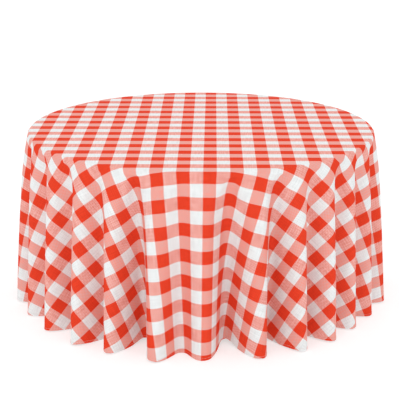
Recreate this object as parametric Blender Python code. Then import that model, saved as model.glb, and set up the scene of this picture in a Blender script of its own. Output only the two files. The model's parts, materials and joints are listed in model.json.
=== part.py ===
"""Round folding banquet table under a floor-length round tablecloth.

Metres, +Z up. The origin is on the floor under the middle of the table. Each leg frame folds
about its pivot tube towards the middle, and a two-link stay locks it open.
"""

import math

import bmesh
import bpy
from mathutils import Vector

# ---- Driving dimensions, in metres and degrees ----
GAP = 0.0003  # air between pieces that touch
MERGE_DISTANCE = 2e-5  # closes a spun ring

TABLE_HEIGHT = 0.762
TABLE_RADIUS = 0.762
PANEL_THICKNESS = 0.019
MOULDING_WIDTH = 0.008
EDGE_RADIUS = 0.006
ROUND_STEPS = 96

RUNNER_WIDTH = 0.040
RUNNER_HEIGHT = 0.030
LONG_RUNNER_LENGTH = 1.20
LONG_RUNNER_X = 0.280
CROSS_RUNNER_Y = 0.060

HINGE_Y = 0.460
SPLAY_DEG = 3.0
TUBE_RADIUS = 0.0125
CROSSBAR_RADIUS = 0.011
TUBE_WALL = 0.0015
TUBE_SIDES = 20
FRONT_LEG_X = 0.420
REAR_LEG_X = 0.360
TUBE_OVERHANG = 0.022
CROSSBAR_DROP = 0.130
PIVOT_CLEARANCE = 0.001

CAP_WALL = 0.0035
CAP_HEIGHT = 0.034
CAP_FLOOR = 0.008

STRAP_WIDTH = 0.030
STRAP_THICKNESS = 0.0025
STRAP_FLANGE = 0.022
STRAP_PLAY = 0.0004

STAY_DROP = 0.170  # stay pin below the pivot tube, along the leg
STAY_OFFSET = 0.0225  # stay pin ahead of the leg's axis
STAY_REACH = 0.340  # upper stay pivot inwards of the pivot tube
STAY_WIDTH = 0.016
STAY_THICKNESS = 0.004
STAY_PLAY = 0.0005  # half the air between the two links
PIN_RADIUS = 0.003
PIN_HEAD_RADIUS = 0.0055
PIN_HEAD_HEIGHT = 0.002
LUG_THICKNESS = 0.0045

CLEVIS_WALL = 0.0025
CLEVIS_LENGTH = 0.024
CLEVIS_FLANGE = 0.014
CLEVIS_GAP = 0.012
CLEVIS_BELOW_PIN = 0.009

SCREW_RADIUS = 0.0018
SCREW_HEAD_RADIUS = 0.0036
SCREW_HEAD_HEIGHT = 0.0022
SCREW_SIDES = 10
SCREW_BITE = 0.012

CLOTH_THICKNESS = 0.0012
CLOTH_GAP = 0.0008
CREST_REACH = 0.083  # how far the crests end outside the table's edge
TROUGH_REACH = 0.002  # how far the troughs between them end outside it, so that the shell lifts off
FLOOR_CLEARANCE = 0.006
HEM_HEIGHT = 0.020
HEM_EXTRA = 0.0004
STEPS_PER_FOLD = 6
SKIRT_LEVELS = (0.16, 0.42, 0.70, 1.0)
CREST_SHAPE = 0.8  # below 1 the crests swing out early
# Direction of each fold's crest, anticlockwise from +X. One points along each half axis.
FOLD_CRESTS_DEG = (
    0, 12, 26, 38, 51, 65, 77, 90, 104, 117, 129, 142, 155, 168,
    180, 191.5, 203.5, 218.5, 232, 243.5, 257, 270, 285, 298, 310, 322.5, 335.5, 348,
)  # fmt: skip

# ---- Places worked out from them ----
PANEL_BOTTOM = TABLE_HEIGHT - PANEL_THICKNESS
RUNNER_TOP = PANEL_BOTTOM - GAP
RUNNER_BOTTOM = RUNNER_TOP - RUNNER_HEIGHT
HINGE_Z = RUNNER_BOTTOM - PIVOT_CLEARANCE - TUBE_RADIUS
SPLAY = math.radians(SPLAY_DEG)
LEG_LENGTH = HINGE_Z / math.cos(SPLAY)
STRAP_INNER = TUBE_RADIUS + STRAP_PLAY
STRAP_OUTER = STRAP_INNER + STRAP_THICKNESS

COLOURS = {
    "plywood": ((0.55, 0.38, 0.20), 0.6, 0.0),
    "vinyl": ((0.05, 0.045, 0.04), 0.5, 0.0),
    "hardwood": ((0.48, 0.32, 0.17), 0.6, 0.0),
    "painted_steel": ((0.07, 0.07, 0.075), 0.45, 0.0),
    "zinc_steel": ((0.62, 0.62, 0.60), 0.35, 1.0),
    "rubber": ((0.02, 0.02, 0.02), 0.8, 0.0),
    "check_cloth": ((0.80, 0.25, 0.18), 0.9, 0.0),
}


# ---- Making and placing ----
def clear_scene():
    for obj in list(bpy.data.objects):
        bpy.data.objects.remove(obj, do_unlink=True)


def finish_named(name, finish):
    colour, roughness, metallic = COLOURS[finish]
    material = bpy.data.materials.new(name + "_finish")
    material.use_nodes = True
    shader = material.node_tree.nodes["Principled BSDF"]
    shader.inputs["Base Color"].default_value = (*colour, 1.0)
    shader.inputs["Roughness"].default_value = roughness
    shader.inputs["Metallic"].default_value = metallic
    return material


def place(obj, location, rotation, parent):
    bpy.context.scene.collection.objects.link(obj)
    obj.location = location
    obj.rotation_euler = rotation
    obj.parent = parent
    return obj


def piece(name, mesh, finish, location=(0, 0, 0), rotation=(0, 0, 0), parent=None):
    """A visible sub-part with its own material."""
    mesh.materials.append(finish_named(name, finish))
    mesh.shade_smooth()
    mesh.set_sharp_from_angle(angle=math.radians(35))
    return place(bpy.data.objects.new(name, mesh), location, rotation, parent)


def empty(name, location, rotation=(0, 0, 0), parent=None):
    return place(bpy.data.objects.new(name, None), location, rotation, parent)


def to_mesh(name, bm):
    bmesh.ops.recalc_face_normals(bm, faces=bm.faces)
    mesh = bpy.data.meshes.new(name)
    bm.to_mesh(mesh)
    bm.free()
    return mesh


def turned(name, profile, steps, ring=False):
    """Spins a (radius, z) profile about Z. A ring's profile closes on itself, off the axis."""
    bm = bmesh.new()
    verts = [bm.verts.new((radius, 0, z)) for radius, z in profile]
    ends = verts[1:] + verts[:1] if ring else verts[1:]
    edges = [bm.edges.new(pair) for pair in zip(verts, ends)]
    bmesh.ops.spin(
        bm, geom=verts + edges, cent=(0, 0, 0), axis=(0, 0, 1), angle=2 * math.pi, steps=steps
    )
    bmesh.ops.remove_doubles(bm, verts=bm.verts, dist=MERGE_DISTANCE)
    return to_mesh(name, bm)


def extruded(name, outline, start, end, axis):
    """Extrudes an outline from start to end along an axis: (y, z) points for X, (x, y) for Z."""
    spot = {"X": lambda a, b: (start, a, b), "Y": lambda a, b: (a, start, b), "Z": lambda a, b: (a, b, start)}
    step = {"X": (end - start, 0, 0), "Y": (0, end - start, 0), "Z": (0, 0, end - start)}
    bm = bmesh.new()
    face = bm.faces.new([bm.verts.new(spot[axis](a, b)) for a, b in outline])
    moved = bmesh.ops.extrude_face_region(bm, geom=[face])["geom"]
    verts = [item for item in moved if isinstance(item, bmesh.types.BMVert)]
    bmesh.ops.translate(bm, verts=verts, vec=step[axis])
    return to_mesh(name, bm)


def ring_strip(name, rings, closed):
    """Joins rings of points by triangles. A closed strip meets itself, an open one gets flat ends.

    Each four points are split from the higher ring's first to the lower ring's second, so that the
    two sides of a thin wall are split alike and stay parallel.
    """
    bm = bmesh.new()
    loops = [[bm.verts.new(point) for point in ring] for ring in rings]
    pairs = list(zip(loops, loops[1:] + loops[:1])) if closed else list(zip(loops, loops[1:]))
    for first, second in pairs:
        high, low = sorted((first, second), key=lambda ring: -ring[0].co.z)
        for i in range(len(high)):
            bm.faces.new((high[i - 1], high[i], low[i]))
            bm.faces.new((high[i - 1], low[i], low[i - 1]))
    if not closed:
        bm.faces.new(loops[0])
        bm.faces.new(loops[-1])
    return to_mesh(name, bm)


def box_mesh(name, low, high):
    outline = [(low[0], low[1]), (high[0], low[1]), (high[0], high[1]), (low[0], high[1])]
    return extruded(name, outline, low[2], high[2], "Z")


def tube_mesh(name, radius, start, end):
    inner = radius - TUBE_WALL
    return turned(name, [(radius, end), (radius, start), (inner, start), (inner, end)], TUBE_SIDES, True)


def rod_mesh(name, radius, start, end, sides=SCREW_SIDES):
    return turned(name, [(0, end), (radius, end), (radius, start), (0, start)], sides)


def arc(centre, radius, start_deg, end_deg, steps):
    angles = [math.radians(start_deg + (end_deg - start_deg) * i / steps) for i in range(steps + 1)]
    return [(centre[0] + radius * math.cos(a), centre[1] + radius * math.sin(a)) for a in angles]


def cut(obj, mesh, location=(0, 0, 0), rotation=(0, 0, 0), parent=None):
    """Takes a hidden cutter out of obj. The cutter is placed under the given parent."""
    cutter = place(bpy.data.objects.new(mesh.name, mesh), location, rotation, parent)
    cutter.hide_render = True
    cutter.display_type = "WIRE"
    modifier = obj.modifiers.new(mesh.name, "BOOLEAN")
    modifier.object = cutter
    modifier.operation = "DIFFERENCE"
    modifier.solver = "EXACT"


ALONG_X = (0, math.pi / 2, 0)


# ---- Fasteners ----
def screw(name, x, y, seat, grip):
    """A pan-head screw driven upwards, its head under seat and its shank grip long."""
    head = seat - GAP
    low = head - SCREW_HEAD_HEIGHT
    profile = [
        (0, head + grip),
        (SCREW_RADIUS, head + grip - SCREW_RADIUS),
        (SCREW_RADIUS, head),
        (SCREW_HEAD_RADIUS, head),
        (SCREW_HEAD_RADIUS, low + 0.0007),
        (SCREW_HEAD_RADIUS * 0.6, low),
        (0, low),
    ]
    piece(name, turned(name, profile, SCREW_SIDES), "zinc_steel", (x, y, 0))


def screw_hole(obj, name, x, y, start, end):
    cut(obj, rod_mesh(name, SCREW_RADIUS + GAP, start, end), (x, y, 0))


def pin(name, finish, start, end, head_at_end, location, rotation, parent):
    """A pin along its own Z from start to end, with a head beyond one end."""
    head = end if head_at_end else start
    tip = head + math.copysign(PIN_HEAD_HEIGHT, 1 if head_at_end else -1)
    far = start if head_at_end else end
    profile = [(0, far), (PIN_RADIUS, far), (PIN_RADIUS, head), (PIN_HEAD_RADIUS, head)]
    profile += [(PIN_HEAD_RADIUS, tip), (0, tip)]
    piece(name, turned(name, profile, 12), finish, location, rotation, parent)


# ---- Table top ----
def edge_profile():
    """Ring section of the moulding: square inside, two rounded corners outside."""
    inner = TABLE_RADIUS - MOULDING_WIDTH
    corner = TABLE_RADIUS - EDGE_RADIUS
    top = arc((corner, TABLE_HEIGHT - EDGE_RADIUS), EDGE_RADIUS, 90, 0, 2)
    bottom = arc((corner, PANEL_BOTTOM + EDGE_RADIUS), EDGE_RADIUS, 0, -90, 2)
    return [(inner, TABLE_HEIGHT)] + top + bottom + [(inner, PANEL_BOTTOM)]


def table_top():
    radius = TABLE_RADIUS - MOULDING_WIDTH - GAP
    panel = piece(
        "tabletop_panel", rod_mesh("tabletop_panel", radius, PANEL_BOTTOM, TABLE_HEIGHT, ROUND_STEPS), "plywood"
    )
    piece("edge_moulding", turned("edge_moulding", edge_profile(), ROUND_STEPS, True), "vinyl")
    return panel


def long_runner(side, panel):
    """side is +1 for the right runner and -1 for the left."""
    name = "long_runner_" + ("right" if side > 0 else "left")
    x = side * LONG_RUNNER_X
    half = RUNNER_WIDTH / 2
    low = (x - half, -LONG_RUNNER_LENGTH / 2, RUNNER_BOTTOM)
    high = (x + half, LONG_RUNNER_LENGTH / 2, RUNNER_TOP)
    runner = piece(name, box_mesh(name, low, high), "hardwood")
    for index, share in enumerate((-0.92, 0, 0.92)):
        runner_screw(f"{name}_screw_{index + 1}", x, share * LONG_RUNNER_LENGTH / 2, runner, panel)
    return runner


def runner_screw(name, x, y, runner, panel):
    grip = RUNNER_HEIGHT + 2 * GAP + SCREW_BITE
    screw(name, x, y, RUNNER_BOTTOM, grip)
    screw_hole(runner, name + "_hole", x, y, RUNNER_BOTTOM - 0.001, RUNNER_TOP + 0.001)
    screw_hole(panel, name + "_pilot", x, y, PANEL_BOTTOM - 0.001, PANEL_BOTTOM + SCREW_BITE + 0.001)


def cross_runner(side, panel):
    """side is -1 for the front runner and +1 for the rear one. It fits between the long runners."""
    name = "cross_runner_" + ("rear" if side > 0 else "front")
    reach = LONG_RUNNER_X - RUNNER_WIDTH / 2 - GAP
    y = side * CROSS_RUNNER_Y
    low = (-reach, y - RUNNER_WIDTH / 2, RUNNER_BOTTOM)
    high = (reach, y + RUNNER_WIDTH / 2, RUNNER_TOP)
    runner = piece(name, box_mesh(name, low, high), "hardwood")
    for index, x in enumerate((-reach * 0.6, reach * 0.6)):
        runner_screw(f"{name}_screw_{index + 1}", x, y, runner, panel)


# ---- Pivot straps ----
def strap_outline(y):
    """Side view of a pipe strap: a flange, a U round the pivot tube and a second flange."""
    top = RUNNER_BOTTOM - GAP
    low = top - STRAP_THICKNESS
    reach = STRAP_OUTER + STRAP_FLANGE
    outer = arc((y, HINGE_Z), STRAP_OUTER, 180, 360, 8)
    inner = arc((y, HINGE_Z), STRAP_INNER, 0, -180, 8)
    left = [(y - reach, top), (y - reach, low), (y - STRAP_OUTER, low)]
    right = [(y + STRAP_OUTER, low), (y + reach, low), (y + reach, top), (y + STRAP_INNER, top)]
    return left + outer + right + inner + [(y - STRAP_INNER, top)]


def pivot_strap(name, x, y, runner):
    half = STRAP_WIDTH / 2
    strap = piece(name, extruded(name, strap_outline(y), x - half, x + half, "X"), "zinc_steel")
    offset = STRAP_OUTER + STRAP_FLANGE / 2
    for index, screw_y in enumerate((y - offset, y + offset)):
        screw_name = f"{name}_screw_{index + 1}"
        seat = RUNNER_BOTTOM - GAP - STRAP_THICKNESS
        screw(screw_name, x, screw_y, seat, STRAP_THICKNESS + SCREW_BITE)
        screw_hole(strap, screw_name + "_hole", x, screw_y, seat - 0.001, RUNNER_BOTTOM)
        screw_hole(runner, screw_name + "_pilot", x, screw_y, RUNNER_BOTTOM - 0.001, RUNNER_BOTTOM + SCREW_BITE)


# ---- Leg frames ----
def leg_frame(prefix, side, leg_x):
    """One folding frame. Its empty sits on the pivot axis: X along the tube, -Z down the legs."""
    turn = 0 if side < 0 else math.pi
    hinge = empty(prefix + "_hinge", (0, side * HINGE_Y, HINGE_Z), (-SPLAY, 0, turn))
    reach = leg_x + TUBE_OVERHANG
    name = prefix + "_pivot_tube"
    piece(name, tube_mesh(name, TUBE_RADIUS, -reach, reach), "painted_steel", rotation=ALONG_X, parent=hinge)
    for word, sign in (("left", -1), ("right", 1)):
        x = sign * side * -leg_x
        leg(f"{prefix}_{word}_leg", x, hinge)
        foot_cap(f"{prefix}_{word}_foot_cap", x, hinge)
    crossbar(prefix + "_crossbar", leg_x, hinge)
    stay_lug(prefix + "_stay_lug", hinge)
    stay(prefix, side)


def leg(name, x, hinge):
    """A tube coped round the pivot tube at its top."""
    bottom = CAP_FLOOR + GAP - LEG_LENGTH
    obj = piece(name, tube_mesh(name, TUBE_RADIUS, bottom, 0), "painted_steel", (x, 0, 0), parent=hinge)
    cope = rod_mesh(name + "_cope", TUBE_RADIUS + GAP, -2 * TUBE_RADIUS, 2 * TUBE_RADIUS, TUBE_SIDES)
    cut(obj, cope, (x, 0, 0), ALONG_X, hinge)


def foot_cap(name, x, hinge):
    """A cup over the tube's end, cut level with the floor."""
    outer = TUBE_RADIUS + CAP_WALL
    bore = TUBE_RADIUS + GAP
    low = -LEG_LENGTH - 0.01
    floor = CAP_FLOOR - LEG_LENGTH
    high = CAP_HEIGHT - LEG_LENGTH
    profile = [(0, floor), (bore, floor), (bore, high), (outer, high), (outer, low), (0, low)]
    cap = piece(name, turned(name, profile, TUBE_SIDES), "rubber", (x, 0, 0), parent=hinge)
    reach = 4 * outer
    ground = box_mesh(name + "_ground", (-reach, -reach, -reach), (reach, reach, 0))
    foot = hinge.location + hinge.rotation_euler.to_matrix() @ Vector((x, 0, -LEG_LENGTH))
    cut(cap, ground, (foot.x, foot.y, 0))


def crossbar(name, leg_x, hinge):
    """A tube between the legs, coped round both."""
    bar = piece(
        name,
        tube_mesh(name, CROSSBAR_RADIUS, -leg_x, leg_x),
        "painted_steel",
        (0, 0, -CROSSBAR_DROP),
        ALONG_X,
        hinge,
    )
    for sign in (-1, 1):
        cope = rod_mesh(f"{name}_cope_{sign}", TUBE_RADIUS + GAP, -0.03, 0.03, TUBE_SIDES)
        cut(bar, cope, (sign * leg_x, 0, -CROSSBAR_DROP), (0, 0, 0), hinge)


# ---- Stays ----
def lug_span():
    """From the outside of the lug to its inside, across the stay."""
    inside = -(STAY_PLAY + STAY_THICKNESS + GAP)
    return inside - LUG_THICKNESS, inside


def stay_lug(name, hinge):
    """A plate on the crossbar that carries the lower link's pin."""
    start, end = lug_span()
    tip = (STAY_OFFSET, -STAY_DROP)
    foot = CROSSBAR_RADIUS + GAP
    outline = [(foot * 0.2, -CROSSBAR_DROP - foot * 1.05), (foot * 1.1, -CROSSBAR_DROP + 0.002)]
    outline += arc(tip, STAY_WIDTH / 2, 45, -130, 8)
    lug = piece(name, extruded(name, outline, start, end, "X"), "painted_steel", parent=hinge)
    bar = rod_mesh(name + "_bar", foot, -0.03, 0.03, TUBE_SIDES)
    cut(lug, bar, (0, 0, -CROSSBAR_DROP), ALONG_X, hinge)
    hole = rod_mesh(name + "_hole", PIN_RADIUS + GAP, -0.02, 0.02, 12)
    cut(lug, hole, (0, *tip), ALONG_X, hinge)


def stay_line():
    """Places seen from the side, (inwards, up) from the pivot axis: lower pin, upper pin, length."""
    lower = Vector((STAY_OFFSET * math.cos(SPLAY) - STAY_DROP * math.sin(SPLAY), 0))
    lower.y = -STAY_DROP * math.cos(SPLAY) - STAY_OFFSET * math.sin(SPLAY)
    upper = Vector((STAY_REACH, STAY_OFFSET))
    return lower, upper, (upper - lower).length


def link_lengths():
    """The links lie in line when the leg is down, and lie back on each other when it is folded."""
    straight = stay_line()[2]
    folded = STAY_REACH - STAY_DROP
    return (straight + folded) / 2, (straight - folded) / 2


def link(name, length, start, location, rotation, holes):
    """A flat bar with round ends, along its own Y from its pivot."""
    half = STAY_WIDTH / 2
    outline = arc((0, 0), half, 90, 270, 8) + arc((length, 0), half, -90, 90, 8)
    bar = piece(
        name, extruded(name, outline, start, start + STAY_THICKNESS, "X"), "zinc_steel", location, rotation
    )
    for index, y in enumerate(holes):
        hole = rod_mesh(f"{name}_hole_{index}", PIN_RADIUS + GAP, -0.02, 0.02, 12)
        cut(bar, hole, (0, y, 0), ALONG_X, bar)
    return bar


def stay(prefix, side):
    """The two links, their pins and the clevis under the table top."""
    lower, upper, _ = stay_line()
    upper_length, lower_length = link_lengths()
    slope = math.atan2(upper.y - lower.y, upper.x - lower.x)
    turn = 0 if side < 0 else math.pi
    upper_spot = (0, side * (HINGE_Y - upper.x), HINGE_Z + upper.y)
    lower_spot = (0, side * (HINGE_Y - lower.x), HINGE_Z + lower.y)
    upper_turn = (slope + math.pi, 0, turn)
    lower_turn = (slope, 0, turn)
    inner, outer = STAY_PLAY, STAY_PLAY + STAY_THICKNESS
    upper_link = link(
        prefix + "_upper_stay", upper_length, inner, upper_spot, upper_turn, (0, upper_length)
    )
    link(prefix + "_lower_stay", lower_length, -outer, lower_spot, lower_turn, (0, lower_length))
    pin(
        prefix + "_stay_rivet", "zinc_steel", GAP, outer + GAP, True, (0, upper_length, 0), ALONG_X, upper_link
    )
    lug_outside = lug_span()[0]
    pin(
        prefix + "_lower_stay_pin", "zinc_steel", lug_outside - GAP, -GAP, False, lower_spot,
        (0, math.pi / 2, turn), None,
    )  # fmt: skip
    clevis(prefix, side, upper_spot, turn)


def clevis(prefix, side, spot, turn):
    """A folded bracket: two flanges under the table top and two ears for the upper pin."""
    name = prefix + "_stay_bracket"
    ear_in = CLEVIS_GAP / 2
    ear_out = ear_in + CLEVIS_WALL
    wide = ear_out + CLEVIS_FLANGE
    top = PANEL_BOTTOM - GAP
    low = top - CLEVIS_WALL
    foot = spot[2] - CLEVIS_BELOW_PIN
    right = [(ear_in, low), (ear_in, foot), (ear_out, foot), (ear_out, low), (wide, low), (wide, top)]
    outline = right + [(-x, z) for x, z in reversed(right)]
    half = CLEVIS_LENGTH / 2
    mesh = extruded(name, outline, spot[1] - half, spot[1] + half, "Y")
    bracket = piece(name, mesh, "zinc_steel")
    cut(bracket, rod_mesh(name + "_hole", PIN_RADIUS + GAP, -0.03, 0.03, 12), spot, ALONG_X)
    pin(
        prefix + "_upper_stay_pin", "zinc_steel", -ear_out - GAP, ear_out + GAP, True, spot,
        (0, math.pi / 2, turn), None,
    )  # fmt: skip
    panel = bpy.data.objects["tabletop_panel"]
    for index, x in enumerate((-wide + CLEVIS_FLANGE / 2, wide - CLEVIS_FLANGE / 2)):
        screw_name = f"{name}_screw_{index + 1}"
        screw(screw_name, x, spot[1], low, CLEVIS_WALL + SCREW_BITE)
        screw_hole(bracket, screw_name + "_hole", x, spot[1], low - 0.001, top + GAP / 2)
        screw_hole(panel, screw_name + "_pilot", x, spot[1], PANEL_BOTTOM - 0.001, PANEL_BOTTOM + SCREW_BITE)


# ---- Tablecloth ----
def fold_table():
    """(direction, wave) round the skirt: the wave is 1 on a crest and -1 in a trough."""
    table = []
    starts = FOLD_CRESTS_DEG
    for start, end in zip(starts, starts[1:] + (starts[0] + 360,)):
        for step in range(STEPS_PER_FOLD):
            share = step / STEPS_PER_FOLD
            direction = math.radians(start + (end - start) * share)
            table.append((direction, math.cos(2 * math.pi * share)))
    return table


def skirt_ring(share, z, extra):
    """A ring of the skirt, share of the way down. extra moves it out from the cloth's inside."""
    start = TABLE_RADIUS + CLOTH_GAP + extra
    crest = start + CREST_REACH * share**CREST_SHAPE
    trough = start + TROUGH_REACH * share
    points = []
    for direction, wave in fold_table():
        radius = (crest + trough) / 2 + (crest - trough) / 2 * wave
        points.append((radius * math.cos(direction), radius * math.sin(direction), z))
    return points


def flat_ring(radius, z):
    return [(radius * math.cos(a), radius * math.sin(a), z) for a, _ in fold_table()]


def skirt_height(share):
    """The skirt hangs straight down past the table top's edge before its folds begin."""
    top = PANEL_BOTTOM - 2 * EDGE_RADIUS
    return top + (FLOOR_CLEARANCE - top) * share


def cloth_side(extra):
    """Rings of one side of the cloth, from the flat top to the hem's upper edge."""
    corner = TABLE_RADIUS - EDGE_RADIUS
    radius = EDGE_RADIUS + CLOTH_GAP + extra
    rings = [flat_ring(r, z) for r, z in arc((corner, TABLE_HEIGHT - EDGE_RADIUS), radius, 90, 0, 2)]
    rings.append(skirt_ring(0, skirt_height(0), extra))
    for share in SKIRT_LEVELS[:-1]:
        rings.append(skirt_ring(share, skirt_height(share), extra))
    seam = (skirt_height(0) - FLOOR_CLEARANCE - HEM_HEIGHT) / (skirt_height(0) - FLOOR_CLEARANCE)
    rings.append(skirt_ring(seam, skirt_height(seam), extra))
    return rings


def tablecloth():
    rings = cloth_side(CLOTH_THICKNESS) + list(reversed(cloth_side(0)))
    piece("tablecloth", ring_strip("tablecloth", rings, False), "check_cloth")
    seam_z = FLOOR_CLEARANCE + HEM_HEIGHT - GAP
    seam = (skirt_height(0) - seam_z) / (skirt_height(0) - FLOOR_CLEARANCE)
    outside = CLOTH_THICKNESS + HEM_EXTRA
    corners = ((seam, outside), (1, outside), (1, -HEM_EXTRA), (seam, -HEM_EXTRA))
    hem = [skirt_ring(share, skirt_height(share), extra) for share, extra in corners]
    piece("hem", ring_strip("hem", hem, True), "check_cloth")


def main():
    clear_scene()
    panel = table_top()
    for side in (-1, 1):
        runner = long_runner(side, panel)
        cross_runner(side, panel)
        word = "right" if side > 0 else "left"
        for end, y in (("front", -HINGE_Y), ("rear", HINGE_Y)):
            pivot_strap(f"{end}_{word}_pivot_strap", side * LONG_RUNNER_X, y, runner)
    leg_frame("front", -1, FRONT_LEG_X)
    leg_frame("rear", 1, REAR_LEG_X)
    tablecloth()


main()
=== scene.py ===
"""A floor-length round check tablecloth on its folding banquet table, in a plain studio."""

import json
import logging
import math
from dataclasses import dataclass, field
from enum import Enum

import bpy
import numpy as np
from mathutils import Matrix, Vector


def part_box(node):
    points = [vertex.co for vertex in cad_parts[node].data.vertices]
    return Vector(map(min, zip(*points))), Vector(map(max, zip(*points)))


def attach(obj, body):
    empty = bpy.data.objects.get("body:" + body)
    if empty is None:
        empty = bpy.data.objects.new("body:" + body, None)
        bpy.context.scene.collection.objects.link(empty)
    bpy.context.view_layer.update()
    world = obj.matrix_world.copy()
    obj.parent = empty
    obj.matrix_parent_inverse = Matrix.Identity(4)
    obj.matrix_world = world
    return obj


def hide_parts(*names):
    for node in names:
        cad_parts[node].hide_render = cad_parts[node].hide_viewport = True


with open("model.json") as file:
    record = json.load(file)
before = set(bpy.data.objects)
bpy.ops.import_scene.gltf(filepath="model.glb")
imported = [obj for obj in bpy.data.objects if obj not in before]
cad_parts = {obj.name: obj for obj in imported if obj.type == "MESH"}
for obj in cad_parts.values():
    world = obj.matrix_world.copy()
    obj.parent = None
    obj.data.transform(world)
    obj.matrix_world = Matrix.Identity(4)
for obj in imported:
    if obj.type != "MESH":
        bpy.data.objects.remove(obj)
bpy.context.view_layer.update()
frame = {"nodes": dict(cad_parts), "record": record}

logging.basicConfig(level=logging.INFO, format="%(message)s")
log = logging.getLogger("tablecloth")

MM = 0.001
FULL_TURN = 2 * math.pi
FRONT = 0.75  # where the front lies round the table, as a share of a full turn from +X
TINY = 1e-9  # stands in for a length of nothing in a division

Grid = np.ndarray  # points on a rings x sectors x 3 grid, in metres
Socket = bpy.types.NodeSocket


# ---------------------------------------------------------------- colour and nodes


def linear(hex_colour: str) -> tuple[float, float, float, float]:
    """Turns an sRGB hex colour into the linear RGBA that shaders take.

    Args:
        hex_colour: six hex digits after a hash sign.

    Returns:
        Red, green, blue and an alpha of 1. Each channel is c / 12.92 below 0.04045, and
        ((c + 0.055) / 1.055) to the power 2.4 above it.
    """
    channels = [int(hex_colour[i : i + 2], 16) / 255 for i in (1, 3, 5)]
    red, green, blue = (c / 12.92 if c <= 0.04045 else ((c + 0.055) / 1.055) ** 2.4 for c in channels)
    return red, green, blue, 1.0


class Shader:
    """One material's node tree, with its Principled shader and the function that adds a node."""

    def __init__(self, name: str) -> None:
        """Makes an empty node material with a Principled shader."""
        self.material = bpy.data.materials.new(name)
        self.material.use_nodes = True
        self.tree = self.material.node_tree
        self.surface = self.tree.nodes["Principled BSDF"]

    def join(self, node: bpy.types.Node, links: dict) -> None:
        """Links each input named in links to a socket, or sets it to a plain value."""
        for key, value in links.items():
            if isinstance(value, Socket):
                self.tree.links.new(value, node.inputs[key])
            else:
                node.inputs[key].default_value = value

    def add(
        self, kind: str, links: dict | None = None, out: int = 0, stops: tuple = (), **settings: object
    ) -> Socket:
        """Adds a node, sets it up and links its inputs.

        Args:
            kind: the node's type name without its ShaderNode prefix.
            links: input name or number to an output socket, or to a plain value.
            out: which output to return.
            stops: a colour ramp's stops, each a place and a hex colour.
            **settings: node properties, such as operation or blend_type.

        Returns:
            The output socket.
        """
        node = self.tree.nodes.new("ShaderNode" + kind)
        for key, value in settings.items():
            setattr(node, key, value)
        self.join(node, links or {})
        for index, (place, colour) in enumerate(stops):
            elements = node.color_ramp.elements
            stop = elements[index] if index < 2 else elements.new(place)
            stop.position, stop.color = place, linear(colour)
        return node.outputs[out]

    def dress(self, links: dict) -> bpy.types.Material:
        """Links or sets the Principled shader's inputs and returns the finished material."""
        self.join(self.surface, links)
        return self.material


# ---------------------------------------------------------------- finishes


class Part(Enum):
    """The two parts of the cloth."""

    OPEN = "woven_polyester_check"
    HEM = "stitched_hem_check"


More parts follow.
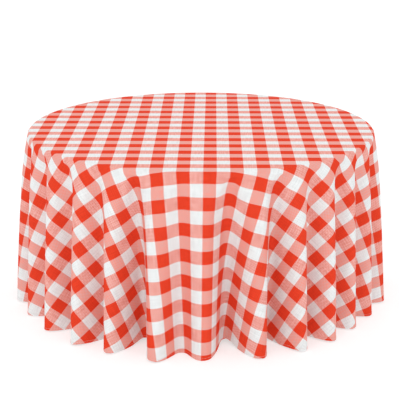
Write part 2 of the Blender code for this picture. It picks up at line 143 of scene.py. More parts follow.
@dataclass(frozen=True)
class WovenCheck:
    """Yarn-dyed spun polyester in a plain weave: a red and white buffalo check.

    Coloured warp crosses coloured weft, so squares are red where both are red, white where
    both are white, and pink between, where the threads alternate. It is matt, with slubs
    along both threads and no gloss.
    """

    stripe: float = 52.15 * MM  # one square across, between the warp's colour changes
    stripe_along: float = 53.75 * MM  # one square along, between the weft's
    offset: tuple[float, float] = (0.089, 0.71)  # where the squares fall, in pairs of squares
    turn: float = math.radians(0.62)  # how far the cloth was laid off square
    white: str = "#EFF2F2"
    pink: str = "#F2A69A"
    red: str = "#EA452B"
    thread: float = 4.5 * MM  # real threads are 0.5 mm, too fine to show, so these are coarser
    top_lean: float = 0.3  # how far a square's colour leans to the thread on top
    slub_lean: float = 0.7  # how far it leans with the threads' thickness
    weave_painted_shade: float = 0.16  # painted shade: how much darker the thread underneath is than the thread on top, next to a slub
    weave_height: float = 0.6  # the weave's height, next to a slub's
    slub_rate: tuple[float, float] = (330, 16)  # slubs per metre across and along a thread
    wander: float = 0.35 * MM  # how far a stripe's edge wanders
    stitch: float = 3.2 * MM  # from one stitch of the hem to the next
    stitch_reach: float = 0.36  # half a stitch's length, as a share of that distance
    stitch_breadth: float = 0.03  # half a stitch's breadth, as a share of the hem's width
    stitch_sink: float = 3.0  # how deep a stitch pulls in, next to a slub's height

    def material(self, part: Part) -> bpy.types.Material:
        """Builds the cloth's material, which reads the cut's own flat coordinates.

        Args:
            part: whether this is the open cloth or its hem, which is also stitched.

        Returns:
            A material with the check, the threads' colour and relief, painted shade where a thread dips
            under, and slubs.
        """
        shader = Shader(part.value)
        size = FlatCut.MAP_SIZE
        cut = shader.add("UVMap", uv_map="cut")
        shift, scale = (-size / 2, -size / 2, 0), (size, size, 1)
        metres = shader.add("Mapping", {0: cut, "Location": shift, "Scale": scale})
        laid = shader.add("Mapping", {0: metres, "Rotation": (0, 0, self.turn)})
        x, y = shader.add("SeparateXYZ", {0: laid}), shader.add("SeparateXYZ", {0: laid}, out=1)
        over = self.warp_on_top(shader, x, y)
        slubs = self.slubs(shader, laid)
        across = self.stripes(shader, x, laid, self.stripe, self.offset[0])
        along = self.stripes(shader, y, laid, self.stripe_along, self.offset[1])
        share = self.red_share(shader, across, along, over, slubs)
        dyes = ((0, self.white), (1, self.red), (0.5, self.pink))
        colour = shader.add("ValToRGB", {0: share}, stops=dyes)
        # painted shade in the weave's low places, plus the slubs' own tone, multiplied into the colour
        weave_shade_and_slubs = shader.add("Math", {0: over, 1: self.weave_painted_shade, 2: slubs}, operation="MULTIPLY_ADD")
        shade = shader.add("ValToRGB", {0: weave_shade_and_slubs}, stops=((0.36, "#DEDEDE"), (0.78, "#FFFFFF")))
        shaded = {0: 1.0, 6: colour, 7: shade}
        colour = shader.add("Mix", shaded, out=2, data_type="RGBA", blend_type="MULTIPLY")
        height = shader.add("Math", {0: over, 1: self.weave_height, 2: slubs}, operation="MULTIPLY_ADD")
        if part is Part.HEM:
            thread = self.stitches(shader)
            twist = shader.add("ValToRGB", {0: over}, stops=((0, "#E2BFB8"), (1, "#F0D8D2")))
            colour = shader.add("Mix", {0: thread, 6: colour, 7: twist}, out=2, data_type="RGBA")
            sunk = {0: thread, 1: -self.stitch_sink, 2: height}
            height = shader.add("Math", sunk, operation="MULTIPLY_ADD")
        relief = shader.add("Bump", {"Height": height, "Distance": 0.12 * MM})
        looks = {"Base Color": colour, "Normal": relief, "Roughness": 0.92, "Specular IOR Level": 0.04}
        return shader.dress(looks)

    def stitches(self, shader: Shader) -> Socket:
        """Returns 1 on the hem's lockstitches, dashes along a line near its upper edge, and 0 off them."""
        run = shader.add("UVMap", uv_map="run")
        along, up = shader.add("SeparateXYZ", {0: run}), shader.add("SeparateXYZ", {0: run}, out=1)
        count = shader.add("Math", {0: along, 1: Hem.RUN_SIZE / self.stitch}, operation="MULTIPLY")
        pitch = shader.add("Math", {0: count, 1: 1.0, 2: 0.0}, operation="WRAP")
        dash = shader.add("Math", {0: pitch, 1: 0.5, 2: self.stitch_reach}, operation="COMPARE")
        row = {0: up, 1: Hem.STITCH_LINE, 2: self.stitch_breadth}
        line = shader.add("Math", row, operation="COMPARE")
        return shader.add("Math", {0: dash, 1: line}, operation="MULTIPLY")

    def stripes(
        self, shader: Shader, place: Socket, laid: Socket, width: float, offset: float
    ) -> Socket:
        """Works out one set of stripes.

        The stripes are a triangle wave from 0 to a half, a pair of squares long, cut halfway up.
        Their place wanders a little.

        Args:
            shader: the material's shader.
            place: metres across the stripes.
            laid: the flat coordinates.
            width: one stripe's width in metres.
            offset: where the stripes fall, in pairs.

        Returns:
            1 on a coloured stripe and 0 on a white one.
        """
        noise = shader.add("TexNoise", {"Vector": laid, "Scale": 90, "Detail": 3})
        moved = shader.add("Math", {0: noise, 1: 2 * self.wander, 2: place}, operation="MULTIPLY_ADD")
        pairs = shader.add("Math", {0: moved, 1: 0.5 / width, 2: offset}, operation="MULTIPLY_ADD")
        wave = shader.add("Math", {0: pairs, 1: 0.5}, operation="PINGPONG")
        soft, halfway = self.wander / width, 0.25
        limits = {"From Min": halfway - soft, "From Max": halfway + soft}
        return shader.add("MapRange", {"Value": wave} | limits)

    def warp_on_top(self, shader: Shader, x: Socket, y: Socket) -> Socket:
        """Returns a 0 to 1 plain-weave height: half of 1 + sin(pi x / thread) sin(pi y / thread)."""
        waves = []
        for axis in (x, y):
            phase = shader.add("Math", {0: axis, 1: math.pi / self.thread}, operation="MULTIPLY")
            waves.append(shader.add("Math", {0: phase}, operation="SINE"))
        crossed = shader.add("Math", {0: waves[0], 1: waves[1]}, operation="MULTIPLY")
        return shader.add("Math", {0: crossed, 1: 0.5, 2: 0.5}, operation="MULTIPLY_ADD")

    def red_share(
        self, shader: Shader, across: Socket, along: Socket, over: Socket, slubs: Socket
    ) -> Socket:
        """Works out how red the cloth is: the mean of both threads, leaning to the one on top.

        Args:
            shader: the material's shader.
            across: 1 where the warp is red.
            along: 1 where the weft is red.
            over: 1 where the warp lies on top.
            slubs: the threads' thickness, which tips the mean where they are thick.

        Returns:
            The share of red, from 0 to 1.
        """
        thick = shader.add("Math", {0: slubs, 1: self.slub_lean}, operation="MULTIPLY")
        lean = shader.add("Math", {0: over, 1: self.top_lean, 2: thick}, operation="MULTIPLY_ADD")
        rest = shader.add("Math", {0: 1.0, 1: lean}, operation="SUBTRACT")
        weft = shader.add("Math", {0: along, 1: rest}, operation="MULTIPLY")
        return shader.add("Math", {0: across, 1: lean, 2: weft}, operation="MULTIPLY_ADD")

    def slubs(self, shader: Shader, laid: Socket) -> Socket:
        """Returns thick and thin places that run along both threads, about 3 mm by 60 mm."""
        across, along = self.slub_rate
        threads = []
        for stretch in ((across, along, 1), (along, across, 1)):
            run = shader.add("Mapping", {0: laid, "Scale": stretch})
            threads.append(shader.add("TexNoise", {"Vector": run, "Scale": 1.0, "Detail": 2}))
        both = shader.add("Math", {0: threads[0], 1: threads[1]}, operation="ADD")
        return shader.add("Math", {0: both, 1: 0.5}, operation="MULTIPLY")


@dataclass(frozen=True)
class Wood:
    """Planed and lacquered wood: long grain with darker late wood, and a soft gloss."""

    pale: str
    dark: str
    rings: float  # grain lines per metre
    grain: tuple[float, float, float]  # stretch, small along the grain
    roughness: float = 0.32
    roughness_spread: float = 0.25
    pores: float = 9  # for each grain line
    line_share: float = 0.75  # how much the grain lines colour the wood
    pore_share: float = 0.35  # how much the pores do

    def material(self, name: str) -> bpy.types.Material:
        """Builds wood whose grain is noise stretched along the board, with fine pores over it."""
        shader = Shader(name)
        board = shader.add("Mapping", {0: shader.add("TexCoord", out=3), "Scale": self.grain})
        figure = shader.add("TexNoise", {"Vector": board, "Scale": self.rings, "Detail": 5})
        pores = shader.add("TexNoise", {"Vector": board, "Scale": self.rings * self.pores, "Detail": 2})
        lines = shader.add("Math", {0: figure, 1: self.line_share}, operation="MULTIPLY")
        mixed = shader.add("Math", {0: pores, 1: self.pore_share, 2: lines}, operation="MULTIPLY_ADD")
        colour = shader.add("ValToRGB", {0: mixed}, stops=((0.38, self.dark), (0.68, self.pale)))
        relief = shader.add("Bump", {"Height": pores, "Distance": 0.15 * MM, "Strength": 0.6})
        gloss = {0: pores, 1: self.roughness_spread, 2: self.roughness}
        gloss = shader.add("Math", gloss, operation="MULTIPLY_ADD")
        return shader.dress({"Base Color": colour, "Normal": relief, "Roughness": gloss})


@dataclass(frozen=True)
class PowderCoat:
    """Black powder-coated steel tube: an even, slightly pebbled semi-gloss."""

    colour: str = "#2A2B2D"
    dusty: str = "#3B3C3E"
    pebble: float = 900.0  # bumps per metre, about 1 mm apart
    roughness: float = 0.3
    roughness_spread: float = 0.25

    def material(self, name: str) -> bpy.types.Material:
        """Builds the coat, with orange-peel relief and a little dust in its hollows."""
        shader = Shader(name)
        place = shader.add("TexCoord", out=3)
        pebbles = shader.add("TexNoise", {"Vector": place, "Scale": self.pebble, "Detail": 2})
        wear = shader.add("TexNoise", {"Vector": place, "Scale": 14, "Detail": 4})
        colour = shader.add("ValToRGB", {0: wear}, stops=((0.35, self.colour), (0.8, self.dusty)))
        relief = shader.add("Bump", {"Height": pebbles, "Distance": 0.08 * MM, "Strength": 0.5})
        gloss = {0: wear, 1: self.roughness_spread, 2: self.roughness}
        gloss = shader.add("Math", gloss, operation="MULTIPLY_ADD")
        return shader.dress({"Base Color": colour, "Normal": relief, "Roughness": gloss})


@dataclass(frozen=True)
class ZincPlate:
    """Bright zinc-plated pressed steel: cool grey metal with cloudy spangle and fine scratches."""

    colour: str = "#B9BBB8"
    dull: str = "#8E9090"
    spangle: float = 160.0  # clouds per metre
    roughness: float = 0.22
    roughness_spread: float = 0.3

    def material(self, name: str) -> bpy.types.Material:
        """Builds the plating, cloudy in colour and roughness."""
        shader = Shader(name)
        place = shader.add("TexCoord", out=3)
        clouds = shader.add("TexNoise", {"Vector": place, "Scale": self.spangle, "Detail": 4})
        rubbed = shader.add("Mapping", {0: place, "Scale": (1, 12, 12)})
        scratches = shader.add("TexNoise", {"Vector": rubbed, "Scale": 220, "Detail": 2})
        colour = shader.add("ValToRGB", {0: clouds}, stops=((0.3, self.dull), (0.7, self.colour)))
        relief = shader.add("Bump", {"Height": scratches, "Distance": 0.03 * MM, "Strength": 0.5})
        gloss = {0: clouds, 1: self.roughness_spread, 2: self.roughness}
        gloss = shader.add("Math", gloss, operation="MULTIPLY_ADD")
        looks = {"Base Color": colour, "Normal": relief, "Roughness": gloss, "Metallic": 1.0}
        return shader.dress(looks)


@dataclass(frozen=True)
class Moulded:
    """Moulded or extruded rubber or vinyl: dark and matt, with a fine moulded grain."""

    colour: str
    worn: str
    grain: float = 1400.0  # pits per metre
    roughness: float = 0.6
    roughness_spread: float = 0.2

    def material(self, name: str) -> bpy.types.Material:
        """Builds the skin with its pits and scuffed patches."""
        shader = Shader(name)
        place = shader.add("TexCoord", out=3)
        pits = shader.add("TexNoise", {"Vector": place, "Scale": self.grain, "Detail": 2})
        scuffs = shader.add("TexNoise", {"Vector": place, "Scale": 35, "Detail": 5})
        colour = shader.add("ValToRGB", {0: scuffs}, stops=((0.45, self.colour), (0.85, self.worn)))
        relief = shader.add("Bump", {"Height": pits, "Distance": 0.05 * MM, "Strength": 0.6})
        gloss = {0: scuffs, 1: self.roughness_spread, 2: self.roughness}
        gloss = shader.add("Math", gloss, operation="MULTIPLY_ADD")
        looks = {"Base Color": colour, "Normal": relief, "Roughness": gloss, "Specular IOR Level": 0.35}
        return shader.dress(looks)


# ---------------------------------------------------------------- meshes on grids


def grid_faces(rings: int, sectors: int) -> np.ndarray:
    """Lists the quads between rings that close on themselves, facing away from the axis.

    Args:
        rings: rings of points, ordered from the top down.
        sectors: points in each ring, anticlockwise seen from above.

    Returns:
        Four point numbers for each quad.
    """
    ring, sector = np.meshgrid(np.arange(rings - 1), np.arange(sectors), indexing="ij")
    after = (sector + 1) % sectors
    corners = [ring * sectors + sector, (ring + 1) * sectors + sector]
    corners += [(ring + 1) * sectors + after, ring * sectors + after]
    return np.stack(corners, axis=-1).reshape(-1, 4)


def turned(radius: np.ndarray, height: np.ndarray, angles: np.ndarray) -> Grid:
    """Turns a profile round the Z axis, with x = r cos a, y = r sin a and z the height.

    Args:
        radius: each ring's radius, r, in metres.
        height: each ring's height, in metres.
        angles: each sector's direction, a, from +X, in radians.

    Returns:
        The rings, one for each radius.
    """
    x, y = radius[:, None] * np.cos(angles), radius[:, None] * np.sin(angles)
    return np.stack([x, y, np.broadcast_to(height[:, None], x.shape)], axis=-1)


def mesh_object(name: str, points: np.ndarray, faces: list[np.ndarray]) -> bpy.types.Object:
    """Puts points and faces into a smooth-shaded object at the origin.

    Args:
        name: the piece's name.
        points: N x 3, in metres.
        faces: arrays of faces, each with its own number of corners.

    Returns:
        The new object, in the scene.
    """
    mesh = bpy.data.meshes.new(name)
    mesh.from_pydata(points.reshape(-1, 3).tolist(), [], [f for part in faces for f in part.tolist()])
    mesh.shade_smooth()
    mesh.validate()
    obj = bpy.data.objects.new(name, mesh)
    bpy.context.scene.collection.objects.link(obj)
    return obj


def set_map(obj: bpy.types.Object, name: str, places: np.ndarray) -> None:
    """Stores a place for each mesh point as a UV map.

    Args:
        obj: the piece.
        name: the map's name.
        places: N x 2, or one row for each face corner where neighbours differ.
    """
    corners = np.empty(len(obj.data.loops), dtype=np.int32)
    obj.data.loops.foreach_get("vertex_index", corners)
    rows = places if len(places) == len(corners) else places[corners]
    layer = obj.data.uv_layers.new(name=name)
    layer.data.foreach_set("uv", rows.astype(np.float32).ravel())


def normals_of(grid: Grid) -> Grid:
    """Returns unit normals that point outwards, the cross product of the steps down and round."""
    round_step = np.roll(grid, -1, axis=1) - np.roll(grid, 1, axis=1)
    down_step = np.gradient(grid, axis=0)
    normal = np.cross(down_step, round_step)
    return normal / np.maximum(np.linalg.norm(normal, axis=2, keepdims=True), TINY)


def refine(values: np.ndarray, factor: int, axis: int, periodic: bool) -> np.ndarray:
    """Adds points between rows with Catmull-Rom cubics, which pass through the old points.

    Args:
        values: the rows to refine.
        factor: how many steps each old step becomes.
        axis: 0 for rings, 1 for sectors.
        periodic: whether the last row joins the first.

    Returns:
        The finer array.
    """
    rows = np.moveaxis(values, axis, 0)
    count = len(rows)
    steps = count * factor if periodic else (count - 1) * factor + 1
    place = np.arange(steps) / factor
    left = np.floor(place).astype(int)
    share = (place - left).reshape((-1,) + (1,) * (rows.ndim - 1))

    def row(shift: int) -> np.ndarray:
        """Returns the rows shift places along, wrapped or held at the ends."""
        index = left + shift
        return rows[index % count] if periodic else rows[np.clip(index, 0, count - 1)]

    before, here, after, beyond = row(-1), row(0), row(1), row(2)
    cubic = (
        here
        + 0.5 * share * (after - before)
        + share**2 * (before - 2.5 * here + 2 * after - 0.5 * beyond)
        + share**3 * (1.5 * (here - after) + 0.5 * (beyond - before))
    )
    return np.moveaxis(cubic, 0, axis)


# ---------------------------------------------------------------- the cloth


@dataclass
class FlatCut:
    """The round cut of cloth before it is laid on the table."""

    radius: float = 1.524  # 120 inches across
    thickness: float = 0.8 * MM

    MAP_SIZE = 3.2  # metres across the square that the cut's map covers

    @property
    def area(self) -> float:
        """The flat area in square metres."""
        return math.pi * self.radius**2

    def places(self, flat: np.ndarray, sectors: int) -> np.ndarray:
        """Works out each grid point's place on the cut's map, ring by ring.

        Args:
            flat: each ring's radius on the flat cut, in metres.
            sectors: points in each ring.

        Returns:
            N x 2, with the middle at 0.5 and 1 a map's width on.
        """
        angles = np.arange(sectors) * FULL_TURN / sectors
        ring = np.stack([np.cos(angles), np.sin(angles)], axis=-1)
        return (flat[:, None, None] * ring).reshape(-1, 2) / self.MAP_SIZE + 0.5


@dataclass(frozen=True)
class Fold:
    """One fold of the hanging part: its crest, and the trough that follows it anticlockwise."""

    crest_deg: float
    reach: float = 1.0  # the crest's swing outwards, next to the usual
    depth: float = 1.0  # the trough's depth, next to the usual


@dataclass
class Folds:
    """How the hanging part gathers all round."""

    folds: tuple[Fold, ...] = (
        Fold(0, 0.95, 1.0), Fold(12, 1.0, 1.05), Fold(26, 0.9, 0.95), Fold(38, 1.05, 1.0),
        Fold(51, 0.95, 1.05), Fold(65, 1.05, 0.85), Fold(77, 0.85, 1.1), Fold(90, 1.0, 1.0),
        Fold(104, 0.95, 0.9), Fold(117, 1.1, 1.05), Fold(129, 0.9, 1.0), Fold(142, 1.0, 0.9),
        Fold(155, 1.05, 1.05), Fold(168, 0.9, 1.0), Fold(180, 1.0, 1.0), Fold(191.5, 1.0, 1.0),
        Fold(204, 0.8, 0.95), Fold(218, 0.86, 1.15), Fold(231.5, 1.05, 1.15), Fold(243, 0.93, 1.35),
        Fold(257, 1.1, 0.7), Fold(270.5, 0.64, 1.1), Fold(287, 0.88, 1.3), Fold(300, 0.93, 1.15),
        Fold(311.5, 0.88, 1.05), Fold(323, 0.67, 0.95), Fold(335, 0.7, 0.95), Fold(347.5, 0.95, 1.0),
    )  # fmt: skip
    crest_reach: float = 0.083  # how far a usual crest ends outside the table's edge
    sharpness: float = 1.2  # above 1 makes the crests broad and the troughs narrow

    def shape(self, direction: np.ndarray) -> tuple[np.ndarray, np.ndarray]:
        """Works out the fold pattern at each direction.

        Across a fold, the trough's share is ((1 - cos) / 2)^sharpness, from 0 on a crest to 1 in
        the trough, times the fold's width next to the average and its depth.

        Args:
            direction: angles from +X, in radians from 0 to a full turn.

        Returns:
            The crest line's reach next to the usual, and the trough's share.
        """
        starts = np.radians([fold.crest_deg for fold in self.folds] + [360.0])
        reach = np.array([fold.reach for fold in self.folds])
        depth = np.array([fold.depth for fold in self.folds])
        index = np.clip(np.searchsorted(starts, direction, side="right") - 1, 0, len(self.folds) - 1)
        width = starts[index + 1] - starts[index]
        share = (direction - starts[index]) / width
        ease = (1 - np.cos(np.pi * share)) / 2
        crest = reach[index] + (np.roll(reach, -1)[index] - reach[index]) * ease
        trough = ((1 - np.cos(FULL_TURN * share)) / 2) ** self.sharpness
        return crest, trough * depth[index] * width * len(self.folds) / FULL_TURN


@dataclass
class Tablecloth:
    """The cloth as it lies on the table and hangs to the floor in folds."""

    cut: FlatCut = field(default_factory=FlatCut)
    folds: Folds = field(default_factory=Folds)
    sectors: int = 288
    hang_rings: int = 40
    closeness: float = 1.3  # above 1 sets the rings closer together near the table's edge
    edge_steps: int = 2  # from the flat top to the side, round the table's edge
    edge_rounding: float = 6 * MM  # the radius of the edge moulding's corners
    flare: float = 0.6  # the crests' reach grows with the share hung to this power
    ease_depth: float = 0.08  # down to here below the edge, the weave's bias takes up some fullness
    least_drop: float = 0.5  # each ring hangs at least this share of its step below the last
    drape_frames: int = 24
    hem_hold: float = 0.5  # how firmly the hem keeps its place while it drapes, from 0 to 1
    hold_slope: float = 1.6  # how fast that hold fades up the hang
    air: float = 0.8 * MM  # between the table and the cloth
    floor_gap: float = 1.5 * MM  # least height of the last ring, which keeps the hem off the floor

    FINE = 8  # points worked out along a folded ring for each sector
    DEEPEST = 0.6  # metres, more than any valley's depth
    HALVINGS = 40  # of that range, in the search for a ring's depth
    RIM_WIDTH = 0.1  # metres of the table's top and underside that the drape can touch
    RIM_STEPS = 6  # round each corner of the table's edge, where the drape touches it

    def __post_init__(self) -> None:
        """Reads the table's size from the frame."""
        low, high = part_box("edge_moulding")
        self.edge_radius = self.edge_rounding + self.air
        self.corner = high[0] - self.edge_rounding
        self.top = high[2] + self.air
        self.table_low, self.table_high = low, high
        self.angles = np.arange(self.sectors) * FULL_TURN / self.sectors
        self.rim = self.corner + self.edge_radius * math.pi / 2
        self.hang = self.cut.radius - self.rim

    def edge_rings(self) -> tuple[Grid, np.ndarray]:
        """Lays the cloth round the table's rounded edge, a quarter circle from top to side.

        Returns:
            The rings and each ring's radius on the flat cut.
        """
        turn = np.linspace(0, math.pi / 2, self.edge_steps + 1)
        radius = self.corner + self.edge_radius * np.sin(turn)
        height = self.top - self.edge_radius * (1 - np.cos(turn))
        return turned(radius, height, self.angles), self.corner + self.edge_radius * turn

    def fold_ring(self, flat_radius: float, share: float) -> np.ndarray:
        """Folds one ring of the hanging cloth without stretching it.

        The crests lie reach * share^flare outside the edge. Every valley's depth grows until
        the ring's outline is as long as the flat ring, two pi times its flat radius. Just below
        the edge it is a little shorter, because a weave that is pulled on the bias narrows.

        Args:
            flat_radius: the ring's radius on the flat cut.
            share: how far down the hanging part it is, from 0 to 1.

        Returns:
            The x and y of each sector, spaced evenly along the cloth and straight down at the front.
        """
        count = self.sectors * self.FINE
        fine = np.arange(count) * FULL_TURN / count
        reach, trough = self.folds.shape(fine)
        swing = self.folds.crest_reach * reach * share**self.flare
        crest = self.corner + self.edge_radius + swing
        below = flat_radius - self.rim
        full = FULL_TURN * (self.rim + below * min(1.0, below / self.ease_depth))
        low, high = 0.0, self.DEEPEST
        for _ in range(self.HALVINGS):
            depth = (low + high) / 2
            radius = crest - depth * trough
            outline = np.stack([radius * np.cos(fine), radius * np.sin(fine)], axis=1)
            lengths = np.linalg.norm(np.roll(outline, -1, axis=0) - outline, axis=1)
            low, high = (depth, high) if lengths.sum() < full else (low, depth)
        along = np.concatenate([[0.0], np.cumsum(lengths)])
        closed = np.vstack([outline, outline[:1]])
        front = along[int(FRONT * count)] - FRONT * along[-1]
        places = (self.angles / FULL_TURN * along[-1] + front) % along[-1]
        return np.stack([np.interp(places, along, closed[:, axis]) for axis in (0, 1)], axis=1)

    def lay(self) -> tuple[Grid, np.ndarray]:
        """Lays the cloth by formula, the state that the simulation starts from.

        Each ring hangs below the last by the root of step^2 - sideways^2, where step is their
        distance on the flat cut, so the cloth isn't stretched down its folds either.

        Returns:
            The grid from the table's edge to the hem, and each ring's radius on the flat cut.
        """
        edge, edge_flat = self.edge_rings()
        shares = np.linspace(0, 1, self.hang_rings + 1) ** self.closeness
        rings = [edge[-1]]
        for share, step in zip(shares[1:], np.diff(shares) * self.hang):
            outline = self.fold_ring(self.rim + share * self.hang, share)
            sideways = np.linalg.norm(outline - rings[-1][:, :2], axis=1)
            drop = np.sqrt(np.maximum(step**2 - sideways**2, (self.least_drop * step) ** 2))
            rings.append(np.column_stack([outline, rings[-1][:, 2] - drop]))
        flat = np.concatenate([edge_flat, self.rim + shares[1:] * self.hang])
        return np.concatenate([edge, np.array(rings[1:])]), flat

    def table_edge(self) -> bpy.types.Object:
        """Makes the rounded rim that the cloth rests against while it is draped."""
        inner = self.corner - self.RIM_WIDTH
        turn = np.linspace(math.pi / 2, -math.pi / 2, 2 * self.RIM_STEPS + 1)
        round_r = self.edge_radius - self.air
        middle = np.where(turn >= 0, self.table_high[2] - round_r, self.table_low[2] + round_r)
        radius = np.concatenate([[inner], self.corner + round_r * np.cos(turn), [inner]])
        side = middle + round_r * np.sin(turn)
        height = np.concatenate([[self.table_high[2]], side, [self.table_low[2]]])
        points = turned(radius, height, self.angles)
        rim = mesh_object("drape_rim", points, [grid_faces(len(radius), self.sectors)])
        rim.modifiers.new("Collision", "COLLISION")
        rim.collision.thickness_outer = 0.5 * MM
        rim.collision.cloth_friction = 5
        return rim

    def drape(self, grid: Grid, flat: np.ndarray) -> Grid:
        """Lets the cloth hang under its own weight with Blender's Cloth, held at the table's top.

        The springs' rest lengths are those of the flat cut, so the folds settle as the cloth
        would. Towards the hem a soft hold keeps them near their places: 1 - slope * (1 - share
        hung), where that is above 0, times hem_hold.

        Args:
            grid: the laid cloth.
            flat: each ring's radius on the flat cut.

        Returns:
            The draped grid.
        """
        rim = self.table_edge()
        sheet = mesh_object("drape_sheet", grid, [grid_faces(len(grid), self.sectors)])
        held = sheet.vertex_groups.new(name="held")
        hung = (flat - self.rim) / self.hang
        weights = self.hem_hold * np.clip(1 - self.hold_slope * (1 - hung), 0, 1)
        weights[: self.edge_steps + 1] = 1.0
        for ring, weight in enumerate(weights):
            held.add(list(range(ring * self.sectors, (ring + 1) * self.sectors)), weight, "REPLACE")
        sheet.shape_key_add(name="laid")
        rest = sheet.shape_key_add(name="flat")
        flat_points = turned(flat, np.full(len(flat), self.top), self.angles)
        rest.data.foreach_set("co", flat_points.ravel())
        self.cloth_settings(sheet, rest)
        for number in range(1, self.drape_frames + 1):
            bpy.context.scene.frame_set(number)
        draped = sheet.evaluated_get(bpy.context.evaluated_depsgraph_get()).data
        points = np.empty(len(draped.vertices) * 3, dtype=np.float32)
        draped.vertices.foreach_get("co", points)
        for obj in (sheet, rim):
            bpy.data.objects.remove(obj, do_unlink=True)
        bpy.context.scene.frame_set(1)
        return points.reshape(grid.shape).astype(float)

    def cloth_settings(self, sheet: bpy.types.Object, rest: bpy.types.ShapeKey) -> None:
        """Sets the Cloth modifier for mid-weight woven polyester."""
        modifier = sheet.modifiers.new("Cloth", "CLOTH")
        modifier.point_cache.frame_end = self.drape_frames
        bpy.context.scene.frame_end = self.drape_frames
        cloth = modifier.settings
        cloth.quality = 8
        cloth.mass = 0.1
        cloth.tension_stiffness = 40
        cloth.compression_stiffness = 40
        cloth.shear_stiffness = 20
        cloth.bending_stiffness = 1.0
        cloth.tension_damping = 10
        cloth.compression_damping = 10
        cloth.shear_damping = 10
        cloth.vertex_group_mass = "held"
        cloth.pin_stiffness = 50
        cloth.rest_shape_key = rest
        modifier.collision_settings.distance_min = 0.8 * MM
        modifier.collision_settings.use_self_collision = False

    def surface(self) -> tuple[Grid, np.ndarray]:
        """Works out the finished inside surface, from the table's edge to the hem.

        Returns:
            The fine grid and each ring's radius on the flat cut.
        """
        grid, flat = self.lay()
        grid = self.drape(grid, flat)
        rings = refine(grid, factor=2, axis=0, periodic=False)
        fine = refine(rings, factor=2, axis=1, periodic=True)
        fine[..., 2] = np.maximum(fine[..., 2], self.floor_gap)
        return self.clear_of_edge(fine), refine(flat, factor=2, axis=0, periodic=False)

    def clear_of_edge(self, grid: Grid) -> Grid:
        """Moves out any point that would cut the table's rounded edge.

        At each height the edge's radius is the corner's plus the root of r^2 - d^2, where r is the
        rounding with the air outside it and d the height past the straight part.

        Args:
            grid: the cloth's inside surface.

        Returns:
            The grid, nowhere nearer to the axis than that.
        """
        height = grid[..., 2]
        above = height - (self.table_high[2] - self.edge_rounding)
        below = self.table_low[2] + self.edge_rounding - height
        past = np.maximum(np.maximum(above, below), 0)
        least = self.corner + np.sqrt(np.maximum(self.edge_radius**2 - past**2, 0))
        radius = np.hypot(grid[..., 0], grid[..., 1])
        grow = np.where(past < self.edge_radius, np.maximum(least / radius, 1), 1)
        grid[..., :2] *= grow[..., None]
        return grid

    def build(self, finish: WovenCheck) -> bpy.types.Object:
        """Makes the whole cloth, a closed thin shell with a flat disc on top.

        The outside is the inside surface plus the cloth's thickness along its normals.

        Args:
            finish: the cloth's finish.

        Returns:
            The cloth.
        """
        self.fine, self.fine_flat = self.surface()
        rings, sectors = self.fine.shape[:2]
        outside = self.fine + self.cut.thickness * self.outward(self.fine)
        shell = np.concatenate([outside, self.fine[::-1]])
        middles = [[0, 0, self.top + self.cut.thickness], [0, 0, self.top]]
        points = np.vstack([shell.reshape(-1, 3), middles])
        faces = [grid_faces(2 * rings, sectors)]
        upper = np.arange(sectors)
        lower = upper + (2 * rings - 1) * sectors
        faces.append(np.stack([upper, np.roll(upper, -1), np.full(sectors, len(points) - 2)], axis=1))
        faces.append(np.stack([np.roll(lower, -1), lower, np.full(sectors, len(points) - 1)], axis=1))
        cloth = mesh_object("check_tablecloth", points, faces)
        flat = np.concatenate([self.fine_flat, self.fine_flat[::-1]])
        places = self.cut.places(flat, sectors)
        set_map(cloth, "cut", np.vstack([places, np.full((len(middles), 2), 0.5)]))
        cloth.data.materials.append(finish.material(Part.OPEN))
        return cloth

    def outward(self, grid: Grid) -> Grid:
        """Returns outward normals, which are straight up on the first ring, on the flat top."""
        normals = normals_of(grid)
        normals[0] = (0, 0, 1)
        return normals


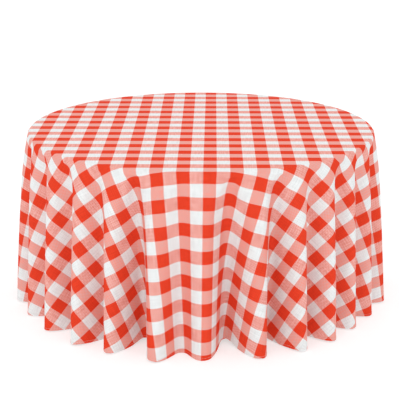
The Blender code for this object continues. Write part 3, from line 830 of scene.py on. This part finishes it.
@dataclass
class Hem:
    """The cloth's edge turned in twice and sewn down: three layers, with a rounded fold below."""

    width: float = 12 * MM
    swell: float = 0.7 * MM  # how far it stands out from the cloth on each side

    RUN_SIZE = 10.0  # metres of hem that its own map covers
    STITCH_LINE = 0.8  # the stitches' height on the map, where the fold is 0 and the upper edge 1
    FOLD_STEPS = 8  # round the half circle at the fold

    def build(self, cloth: Tablecloth, finish: WovenCheck) -> bpy.types.Object:
        """Makes the hem along the cloth's last ring.

        The band's outline is carried along the ring: each point is the cloth's middle layer
        there, less up times its downward slope, plus out times its normal.

        Args:
            cloth: the finished cloth, whose last two rings give the hem's place and slope.
            finish: the cloth's finish.

        Returns:
            The hem.
        """
        last, before = cloth.fine[-1], cloth.fine[-2]
        down = last - before
        down /= np.linalg.norm(down, axis=1, keepdims=True)
        normal = normals_of(cloth.fine)[-1]
        middle = last + normal * cloth.cut.thickness / 2
        up, out = self.outline(cloth.cut.thickness / 2 + self.swell)
        points = middle[None] - down[None] * up[:, None, None] + normal[None] * out[:, None, None]
        rings, sectors = points.shape[:2]
        faces = grid_faces(rings + 1, sectors)
        obj = mesh_object("hem_band", points, [faces % (rings * sectors)])
        self.set_maps(obj, faces, np.append(up, up[:1]), cloth)
        obj.data.materials.append(finish.material(Part.HEM))
        return obj

    def set_maps(
        self, obj: bpy.types.Object, faces: np.ndarray, up: np.ndarray, cloth: Tablecloth
    ) -> None:
        """Stores the hem's place on the flat cut, and its run along the stitches.

        Args:
            obj: the hem.
            faces: its quads, counted before the last ring is joined to the first.
            up: each ring's height above the fold, with the first again at the end.
            cloth: the finished cloth.
        """
        last = cloth.fine[-1]
        sectors = len(last)
        ring, sector = np.divmod(faces.ravel(), sectors)
        closing = sector < np.tile([0, 0, 1, 1], len(faces))  # far corners of the last sector
        angle = (sector + closing) * FULL_TURN / sectors  # at those, one sector further on
        around = np.stack([np.cos(angle), np.sin(angle)], axis=1)
        cut = (cloth.cut.radius - up)[ring][:, None] * around
        set_map(obj, "cut", cut / FlatCut.MAP_SIZE + 0.5)
        length = np.linalg.norm(np.roll(last, -1, axis=0) - last, axis=1)
        along = np.concatenate([[0.0], np.cumsum(length)])[sector + sectors * closing]
        set_map(obj, "run", np.stack([along / self.RUN_SIZE, up[ring] / self.width], axis=1))

    def outline(self, half: float) -> tuple[np.ndarray, np.ndarray]:
        """Works out the band's outline, down the outside, round the fold and up the inside.

        The upper edge is rounded, the stitches pull the band in a little, and the fold is a half
        circle.

        Args:
            half: half the band's thickness.

        Returns:
            Each point's height above the fold and its distance out from the cloth's middle.
        """
        side = half + (self.width - half) * np.array([1.0, 0.97, 0.9, self.STITCH_LINE, 0.55, 0.3])
        stand = half * np.array([0.45, 0.85, 1.0, 0.9, 1.0, 1.0])
        fold = np.linspace(0, math.pi, self.FOLD_STEPS + 1)[1:-1]
        up = np.concatenate([side, half * (1 - np.sin(fold)), side[::-1]])
        return up, np.concatenate([stand, half * np.cos(fold), -stand[::-1]])


# ---------------------------------------------------------------- studio


@dataclass
class Studio:
    """A plain pale floor, soft light all round and the camera."""

    camera_distance: float = 5.0  # in front of the table's middle
    camera_height: float = 1.944  # above the floor
    camera_down: float = math.radians(16.93)  # how far it looks down
    lens: float = 103.46  # millimetres
    shift: float = -0.0026  # sideways, as a share of the frame's width
    aim_height: float = 0.45  # where the softboxes point, over the middle of the floor
    floor_reach: float = 30.0  # from the middle to each side

    def camera(self) -> None:
        """Puts the camera in front of the table, looking a little down at it."""
        data = bpy.data.cameras.new("camera")
        data.lens = self.lens
        data.shift_x = self.shift
        data.clip_end = 60
        camera = bpy.data.objects.new("camera", data)
        camera.location = (0, -self.camera_distance, self.camera_height)
        camera.rotation_euler = (math.pi / 2 - self.camera_down, 0, 0)
        bpy.context.scene.collection.objects.link(camera)
        bpy.context.scene.camera = camera

    def floor(self) -> None:
        """Lays a pale floor, with some light of its own that keeps it white up to the hem."""
        size = self.floor_reach
        corners = np.array([(-size, -size, 0), (size, -size, 0), (size, size, 0), (-size, size, 0)])
        floor = mesh_object("studio_floor", corners, [np.array([[0, 1, 2, 3]])])
        white = {"Base Color": linear("#B8B8B8"), "Emission Color": (1, 1, 1, 1), "Emission Strength": 0.58}
        floor.data.materials.append(Shader("studio_white").dress(white | {"Roughness": 0.9}))

    def lights(self) -> None:
        """Lights the set with a bright surround, a key and a fill in front, and a softbox above."""
        world = bpy.data.worlds.new("studio_surround")
        world.use_nodes = True
        background = world.node_tree.nodes["Background"]
        background.inputs["Color"].default_value = (1, 1, 1, 1)
        background.inputs["Strength"].default_value = 1.02
        bpy.context.scene.world = world
        bpy.context.scene.view_settings.view_transform = "Standard"
        self.area_light("key", (-2.6, -4.8, 2.6), size=2.0, power=26)
        self.area_light("fill", (3.2, -4.4, 1.4), size=2.5, power=10)
        self.area_light("above", (0.0, 0.3, 3.6), size=2.5, power=9)

    def area_light(self, name: str, spot: tuple[float, float, float], size: float, power: float) -> None:
        """Adds a square softbox that faces the table."""
        data = bpy.data.lights.new(name, "AREA")
        data.size = size
        data.energy = power
        light = bpy.data.objects.new(name, data)
        light.location = spot
        aim = np.array([0, 0, self.aim_height]) - np.array(spot)
        flat = math.hypot(aim[0], aim[1])
        light.rotation_euler = (math.atan2(flat, -aim[2]), 0, math.atan2(-aim[0], aim[1]))
        bpy.context.scene.collection.objects.link(light)


# ---------------------------------------------------------------- the table


@dataclass
class FoldingTable:
    """The table under the cloth, whose CAD solids keep their shape and get their finishes."""

    finishes: dict[str, object] = field(
        default_factory=lambda: {
            "plywood": Wood("#D9B98A", "#B8925F", rings=26, grain=(1.0, 0.06, 1.0)),
            "hardwood": Wood("#C49A66", "#94683A", rings=60, grain=(1.0, 0.05, 1.0)),
            "edge_vinyl": Moulded("#1B1A19", "#35322F"),
            "foot_rubber": Moulded("#151515", "#2E2D2C", roughness=0.7),
            "painted_steel": PowderCoat(),
            "bracket_zinc": ZincPlate(),
            "fastener_zinc": ZincPlate(colour="#C9CAC6", dull="#A3A49F", spangle=420),
        }
    )

    def dress(self) -> None:
        """Gives every table node the finish of its material slot."""
        made = {slot: finish.material(slot) for slot, finish in self.finishes.items()}
        for part in frame["record"]["subparts"]:
            slot = part["material_slot"]
            if slot not in made:
                continue
            obj = frame["nodes"][part["node"]]
            obj.data.materials.clear()
            obj.data.materials.append(made[slot])
            log.info("%s: %s", part["node"], slot)


def main() -> None:
    """Builds the cloth, dresses the table and sets up the studio."""
    studio = Studio()
    studio.camera()
    studio.floor()
    studio.lights()
    FoldingTable().dress()
    cloth = Tablecloth()
    finish = WovenCheck()
    sheet = cloth.build(finish)
    hem = Hem().build(cloth, finish)
    for piece, node, slot in ((sheet, "tablecloth", "check_cloth"), (hem, "hem", "hem_cloth")):
        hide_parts(node)
        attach(piece, "cloth")
        log.info("%s: %d faces", piece.name, len(piece.data.polygons))


if __name__ == "__main__":
    main()
